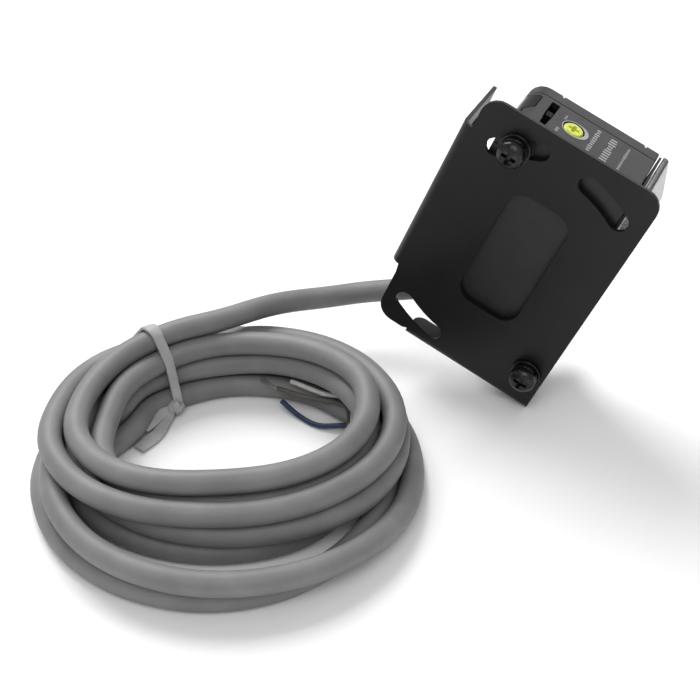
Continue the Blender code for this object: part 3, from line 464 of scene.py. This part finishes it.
copper, copper_shader = new_material("tinned_copper_strands", (0.56, 0.53, 0.49), 0.35, 1.0)
mottle(copper, copper_shader, ((0.46, 0.42, 0.38), (0.66, 0.62, 0.58)), 3000.0)
grain(copper, copper_shader, 5000.0, 0.2, 0.0001, (0.25, 0.40))
strands = []
for number in range(7):
    around = number * math.tau / 6
    spread = 0.0 if number == 6 else STRAND_SPREAD
    offset = np.array((0.0, math.cos(around), math.sin(around))) * spread
    line = smooth_curve(
        [copper_start + offset, copper_start + np.array((-0.0028, 0.0006, 0.0002)) + offset * 1.3,
         copper_start + np.array((-0.0058, 0.0018, 0.0004)) + offset * 2.2], 0.0007,
    )
    strands.append(round_tube(f"strand_{number}", line, STRAND_RADIUS, sides=6))
work = bmesh.new()
for strand in strands:
    work.from_mesh(strand.data)
    bpy.data.objects.remove(strand)
bundle = bpy.data.meshes.new("copper_end")
work.to_mesh(bundle)
work.free()
bundle.materials.append(copper)
copper_end = bpy.data.objects.new("copper_end", bundle)
scene.collection.objects.link(copper_end)
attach(copper_end, "sensor")

# Bracket. One piece of sheet steel, punched and folded, with a satin black coating. Its punched
# edges are slightly rounded, so they catch the light.

SHARP_ANGLE = math.radians(38)
BEVEL_ANGLE = math.radians(32)


def evaluated_mesh(holder):
    """A plain mesh of the object with its modifiers applied."""
    return bpy.data.meshes.new_from_object(holder.evaluated_get(bpy.context.evaluated_depsgraph_get()))


def flatten_normals(mesh):
    """Normals that follow the broad faces, so a rounded edge blends without shading them."""
    mesh.shade_smooth()
    mesh.set_sharp_from_angle(angle=SHARP_ANGLE)
    holder = bpy.data.objects.new(mesh.name + "_normals", mesh)
    scene.collection.objects.link(holder)
    weighted = holder.modifiers.new("broad_faces", "WEIGHTED_NORMAL")
    weighted.keep_sharp = True
    weighted.weight = 100
    weighted.thresh = 0.001
    shaded = evaluated_mesh(holder)
    normals = [tuple(corner.vector) for corner in shaded.corner_normals]
    bpy.data.objects.remove(holder)
    bpy.data.meshes.remove(shaded)
    mesh.normals_split_custom_set(normals)


def edge_rounded(node, name, width, material, body, segments=2):
    """A copy of a CAD node with its edges rounded, which stands for that node."""
    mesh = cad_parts[node].data.copy()
    work = bmesh.new()
    work.from_mesh(mesh)
    bmesh.ops.remove_doubles(work, verts=work.verts, dist=2e-6)
    bmesh.ops.dissolve_limit(work, angle_limit=math.radians(0.6), verts=work.verts, edges=work.edges)
    work.to_mesh(mesh)
    work.free()
    mesh.shade_smooth()
    source = bpy.data.objects.new(name + "_source", mesh)
    scene.collection.objects.link(source)
    bevel = source.modifiers.new("rounded_edges", "BEVEL")
    bevel.width = width
    bevel.segments = segments
    bevel.limit_method = "ANGLE"
    bevel.angle_limit = BEVEL_ANGLE
    bevel.use_clamp_overlap = True
    source.modifiers.new("triangles", "TRIANGULATE").quad_method = "BEAUTY"
    made = evaluated_mesh(source)
    bpy.data.objects.remove(source)
    made.name = name
    made.materials.clear()
    made.materials.append(material)
    flatten_normals(made)
    piece = bpy.data.objects.new(name, made)
    scene.collection.objects.link(piece)
    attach(piece, body)
    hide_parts(node)
    return piece


coating, coating_shader = new_material("black_coating", (0.006, 0.006, 0.0065), 0.40)
mottle(coating, coating_shader, ((0.0050, 0.0050, 0.0055), (0.0072, 0.0072, 0.0078)), 60.0)
grain(coating, coating_shader, 2400.0, 0.15, 0.0001, (0.34, 0.46))
coating_shader.inputs["Specular IOR Level"].default_value = 0.30
edge_rounded("bracket", "bracket_sheet", 0.00026, coating, "bracket")

# Fasteners. Two black M4 pan-head screws with split and plain washers hold the bracket to the
# case; zinc-plated nuts and washers take them on the far side. All are turned or stamped steel.

black_oxide, black_oxide_shader = new_material("black_oxide", (0.030, 0.030, 0.032), 0.28, 0.85)
mottle(black_oxide, black_oxide_shader, ((0.022, 0.022, 0.024), (0.046, 0.046, 0.048)), 500.0)
grain(black_oxide, black_oxide_shader, 3000.0, 0.12, 0.0001, (0.20, 0.36))
zinc, zinc_shader = new_material("zinc_plate", (0.52, 0.53, 0.55), 0.35, 1.0)
mottle(zinc, zinc_shader, ((0.46, 0.47, 0.49), (0.60, 0.60, 0.60)), 350.0)
grain(zinc, zinc_shader, 1500.0, 0.2, 0.0001, (0.25, 0.45))
fastener_edges = {  # CAD piece: (name, edge radius, material, slot, segments)
    "screw": ("pan_screw", 0.00022, black_oxide, "black_steel", 3),
    "spring_washer": ("split_ring", 0.00015, black_oxide, "black_steel", 2),
    "washer": ("plain_ring", 0.00015, black_oxide, "black_steel", 2),
    "far_washer": ("zinc_ring", 0.00015, zinc, "plated_steel", 2),
    "nut": ("hex_nut", 0.00025, zinc, "plated_steel", 2),
}
for place in ("pivot", "clamp"):
    for node, (name, edge, metal, slot_name, segments) in fastener_edges.items():
        edge_rounded(f"{place}_{node}", f"{place}_{name}", edge, metal, "sensor", segments)

# Case. Two injection-moulded halves in fine-textured black plastic, joined at a seam near the
# far side. The near half holds the screw bosses and carries everything that is set in the top.

moulding, moulding_shader = new_material("case_moulding", (0.010, 0.010, 0.0106), 0.42)
mottle(moulding, moulding_shader, ((0.0085, 0.0085, 0.0090), (0.0118, 0.0118, 0.0124)), 150.0)
grain(moulding, moulding_shader, 4200.0, 0.30, 0.00012, (0.40, 0.52))
edge_rounded("case", "case_body", 0.00025, moulding, "sensor")
edge_rounded("side_cover", "case_lid", 0.00025, moulding, "sensor")

# Printing. Pale ink, pad-printed on the case's top: a wedge round the adjuster that widens towards
# more, a short mark at each end of it, and three rows of plain dashes where the case is labelled.

LEAN = math.radians(22.2)
INK_THICKNESS = 0.00004
INK_CLEARANCE = 0.00001
WEDGE_INNER = 0.0029
WEDGE_OUTER = 0.0031
WEDGE_SWELL = 0.0008
up = Vector((math.sin(LEAN), 0, math.cos(LEAN)))
forward = Vector((math.cos(LEAN), 0, -math.sin(LEAN)))
adjuster_low, adjuster_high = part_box("adjuster")
dial = (adjuster_low + adjuster_high) / 2
case_top = max(corner.co.dot(up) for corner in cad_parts["case"].data.vertices)
dial_centre = dial + up * (case_top - dial.dot(up))
ink, ink_shader = new_material("pad_printed_ink", (0.34, 0.34, 0.35), 0.5)
mottle(ink, ink_shader, ((0.28, 0.28, 0.29), (0.40, 0.40, 0.41)), 2500.0)
grain(ink, ink_shader, 5000.0, 0.1, 0.00005, (0.45, 0.6))


def on_top(forward_by, far_by, lift=0.0):
    """A point on the case's top, from the adjuster's centre."""
    return dial_centre + forward * forward_by + Vector((0, far_by, 0)) + up * lift


def printed(name, outlines):
    """Thin closed slabs of ink on the case's top, one for each outline of (forward, far) points."""
    work = bmesh.new()
    for outer, inner in outlines:
        rows = []
        for lift in (0.0, INK_THICKNESS):
            for outline in (outer, inner):
                rows.append([work.verts.new(on_top(a, b, lift + INK_CLEARANCE)) for a, b in outline])
        low_outer, low_inner, high_outer, high_inner = rows
        count = len(outer)
        for k in range(count):
            step = (k + 1) % count
            loop = (low_outer, high_outer, high_inner, low_inner)
            for first, second in zip(loop, loop[1:] + loop[:1]):
                work.faces.new((first[k], first[step], second[step], second[k]))
    bmesh.ops.recalc_face_normals(work, faces=work.faces)
    mesh = bpy.data.meshes.new(name)
    work.to_mesh(mesh)
    work.free()
    mesh.materials.append(ink)
    piece = bpy.data.objects.new(name, mesh)
    scene.collection.objects.link(piece)
    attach(piece, "sensor")
    return piece


wedge_outer, wedge_inner = [], []
for k in range(40):
    angle = math.tau * k / 40
    reach = WEDGE_OUTER + WEDGE_SWELL * max(0.0, math.cos(angle)) ** 1.5
    wedge_outer.append((reach * math.cos(angle), reach * math.sin(angle)))
    wedge_inner.append((WEDGE_INNER * math.cos(angle), WEDGE_INNER * math.sin(angle)))
printed("adjuster_wedge", [(wedge_outer, wedge_inner)])


def dash_rows():
    """A node tree that repeats a dash along a row, with each dash's length drawn from a fixed seed."""
    tree = bpy.data.node_groups.new("dash_rows", "GeometryNodeTree")
    tree.interface.new_socket("Geometry", in_out="OUTPUT", socket_type="NodeSocketGeometry")
    for label, kind in {
        "Count": "NodeSocketInt", "Pitch": "NodeSocketFloat", "Height": "NodeSocketFloat",
        "Thickness": "NodeSocketFloat", "Seed": "NodeSocketInt", "Ink": "NodeSocketMaterial",
    }.items():
        tree.interface.new_socket(label, in_out="INPUT", socket_type=kind)
    given = tree.nodes.new("NodeGroupInput")
    result = tree.nodes.new("NodeGroupOutput")
    line = tree.nodes.new("GeometryNodeMeshLine")
    offset = tree.nodes.new("ShaderNodeCombineXYZ")
    size = tree.nodes.new("ShaderNodeCombineXYZ")
    width = tree.nodes.new("ShaderNodeMath")
    width.operation = "MULTIPLY"
    width.inputs[1].default_value = 0.50
    block = tree.nodes.new("GeometryNodeMeshCube")
    spread = tree.nodes.new("FunctionNodeRandomValue")
    spread.data_type = "FLOAT"
    spread.inputs["Min"].default_value = 0.50
    spread.inputs["Max"].default_value = 1.0
    scale = tree.nodes.new("ShaderNodeCombineXYZ")
    scale.inputs["Y"].default_value = 1.0
    scale.inputs["Z"].default_value = 1.0
    place = tree.nodes.new("GeometryNodeInstanceOnPoints")
    real = tree.nodes.new("GeometryNodeRealizeInstances")
    paint = tree.nodes.new("GeometryNodeSetMaterial")
    joins = tree.links.new
    joins(given.outputs["Count"], line.inputs["Count"])
    joins(given.outputs["Pitch"], offset.inputs["Y"])
    joins(offset.outputs["Vector"], line.inputs["Offset"])
    joins(given.outputs["Pitch"], width.inputs[0])
    joins(given.outputs["Height"], size.inputs["X"])
    joins(width.outputs["Value"], size.inputs["Y"])
    joins(given.outputs["Thickness"], size.inputs["Z"])
    joins(size.outputs["Vector"], block.inputs["Size"])
    joins(given.outputs["Seed"], spread.inputs["Seed"])
    joins(spread.outputs["Value"], scale.inputs["X"])
    joins(line.outputs["Mesh"], place.inputs["Points"])
    joins(block.outputs["Mesh"], place.inputs["Instance"])
    joins(scale.outputs["Vector"], place.inputs["Scale"])
    joins(place.outputs["Instances"], real.inputs["Geometry"])
    joins(real.outputs["Geometry"], paint.inputs["Geometry"])
    joins(given.outputs["Ink"], paint.inputs["Material"])
    joins(paint.outputs["Geometry"], result.inputs["Geometry"])
    return tree


dashes = dash_rows()
LEGENDS = {  # forward of the adjuster, far from it, number of dashes, their pitch and height
    "low_mark": (-0.0033, -0.0046, 3, 0.00070, 0.0008),
    "high_mark": (-0.0031, 0.0021, 3, 0.00070, 0.0008),
    "top_row": (0.0053, -0.0047, 11, 0.00100, 0.0014),
    "middle_row": (0.0095, -0.0050, 10, 0.00112, 0.0020),
    "low_row": (0.0136, -0.0050, 14, 0.00078, 0.0009),
}
top_frame = Matrix((
    (forward.x, 0, up.x, 0),
    (0, 1, 0, 0),
    (forward.z, 0, up.z, 0),
    (0, 0, 0, 1),
))
for number, (name, (ahead, near, count, pitch, height)) in enumerate(LEGENDS.items()):
    holder = bpy.data.objects.new(name + "_source", bpy.data.meshes.new(name + "_source"))
    scene.collection.objects.link(holder)
    nodes = holder.modifiers.new("dashes", "NODES")
    nodes.node_group = dashes
    given = {item.name: item.identifier for item in dashes.interface.items_tree if item.in_out == "INPUT"}
    values = {
        "Count": count, "Pitch": pitch, "Height": height,
        "Thickness": INK_THICKNESS, "Seed": number, "Ink": ink,
    }
    for label, value in values.items():
        nodes[given[label]] = value
    holder.update_tag()
    bpy.context.view_layer.update()
    row = evaluated_mesh(holder)
    bpy.data.objects.remove(holder)
    row.transform(Matrix.Translation(on_top(ahead, near, INK_THICKNESS / 2 + INK_CLEARANCE)) @ top_frame)
    piece = bpy.data.objects.new(name, row)
    scene.collection.objects.link(piece)
    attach(piece, "sensor")

# Indicator window. One polished moulding in smoked polycarbonate, nearly black, let into the
# rear top corner over the two resin lamps, which are the record's indicators.

smoked, smoked_shader = new_material("smoked_polycarbonate", (0.004, 0.0035, 0.0035), 0.16)
mottle(smoked, smoked_shader, ((0.0030, 0.0026, 0.0026), (0.0056, 0.0048, 0.0048)), 120.0)
grain(smoked, smoked_shader, 1800.0, 0.05, 0.00005, (0.12, 0.22))
smoked_shader.inputs["Specular IOR Level"].default_value = 0.3
edge_rounded("indicator_window", "smoked_window", 0.0002, smoked, "sensor")
lamp, lamp_shader = new_material("lamp_resin", (0.70, 0.22, 0.05), 0.25)
mottle(lamp, lamp_shader, ((0.62, 0.16, 0.03), (0.80, 0.32, 0.08)), 900.0)
grain(lamp, lamp_shader, 3000.0, 0.1, 0.00005, (0.18, 0.32))

# Lens cover. One clear acrylic moulding over the front, polished outside and frosted by its
# moulded ribs inside; the rubber seal and the two lenses show through it.

acrylic, acrylic_shader = new_material("clear_acrylic", (0.30, 0.305, 0.31), 0.10)
mottle(acrylic, acrylic_shader, ((0.24, 0.245, 0.25), (0.36, 0.365, 0.37)), 220.0)
grain(acrylic, acrylic_shader, 900.0, 0.06, 0.0001, (0.05, 0.20))
acrylic_shader.inputs["Transmission Weight"].default_value = 1.0
acrylic_shader.inputs["IOR"].default_value = 1.49
edge_rounded("lens_cover", "front_window", 0.0003, acrylic, "sensor", 3)
lens_look, lens_shader = new_material("lens_acrylic", (0.86, 0.88, 0.90), 0.05)
mottle(lens_look, lens_shader, ((0.80, 0.83, 0.86), (0.92, 0.93, 0.95)), 300.0)
grain(lens_look, lens_shader, 1200.0, 0.03, 0.00005, (0.03, 0.10))
lens_shader.inputs["Transmission Weight"].default_value = 1.0
lens_shader.inputs["IOR"].default_value = 1.49

# Adjuster and mode slider. A yellow moulded disc with a cross slot, which a screwdriver turns,
# and a black slider in its stepped slot. Both are set in the case's top and ride on their bodies.

adjuster_look, adjuster_shader = new_material("adjuster_yellow", (0.56, 0.62, 0.05), 0.35)
mottle(adjuster_look, adjuster_shader, ((0.50, 0.56, 0.04), (0.66, 0.70, 0.09)), 900.0)
grain(adjuster_look, adjuster_shader, 3000.0, 0.15, 0.00005, (0.28, 0.42))
edge_rounded("adjuster", "adjuster_disc", 0.00015, adjuster_look, "adjuster")
slider_look, slider_shader = new_material("slider_black", (0.003, 0.003, 0.003), 0.6)
mottle(slider_look, slider_shader, ((0.0022, 0.0022, 0.0022), (0.0042, 0.0042, 0.0042)), 700.0)
grain(slider_look, slider_shader, 3500.0, 0.2, 0.00008, (0.50, 0.65))
slider_shader.inputs["Specular IOR Level"].default_value = 0.2
edge_rounded("selector_slider", "mode_slider", 0.00012, slider_look, "selector")

# Rubber. The gland is moulded on the cable and pressed into the case, and a flat seal lies
# behind the lens cover. Both are matt black rubber.

rubber, rubber_shader = new_material("seal_rubber", (0.030, 0.030, 0.031), 0.75)
mottle(rubber, rubber_shader, ((0.024, 0.024, 0.025), (0.040, 0.040, 0.041)), 260.0)
grain(rubber, rubber_shader, 2200.0, 0.35, 0.00015, (0.65, 0.85))
edge_rounded("cable_gland", "gland_boot", 0.0003, rubber, "sensor", 3)

# Inside. Glass-fibre boards with green mask carry resin-moulded chips, resin lamps and a plated
# screening can; the holder behind the cover takes two clear lenses. Their shapes are the frame's.

board_look, board_shader = new_material("board_mask", (0.010, 0.110, 0.045), 0.35)
mottle(board_look, board_shader, ((0.007, 0.085, 0.035), (0.016, 0.140, 0.060)), 420.0, 2.0)
grain(board_look, board_shader, 1600.0, 0.25, 0.0001, (0.25, 0.45))
chip_look, chip_shader = new_material("moulded_resin", (0.014, 0.014, 0.015), 0.55)
mottle(chip_look, chip_shader, ((0.010, 0.010, 0.011), (0.020, 0.020, 0.021)), 800.0)
grain(chip_look, chip_shader, 4000.0, 0.25, 0.00008, (0.45, 0.65))
inside = {
    "circuit_board": (board_look, ("main_board", "optics_board")),
    "chip_resin": (
        chip_look, ("processor", "output_transistor", "photodiode", "trimmer", "selector_switch"),
    ),
    "black_plastic": (slider_look, ("optics_holder", "wire_terminal")),
    "plated_steel": (zinc, ("capacitor", "receiver_shield")),
    "led_resin": (lamp, ("light_source", "operation_led", "stability_led")),
    "lens_plastic": (lens_look, ("receiving_lens", "transmitting_lens")),
    "rubber": (rubber, ("cover_seal",)),
}
for look, names in inside.values():
    for name in names:
        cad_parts[name].data.materials.clear()
        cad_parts[name].data.materials.append(look)
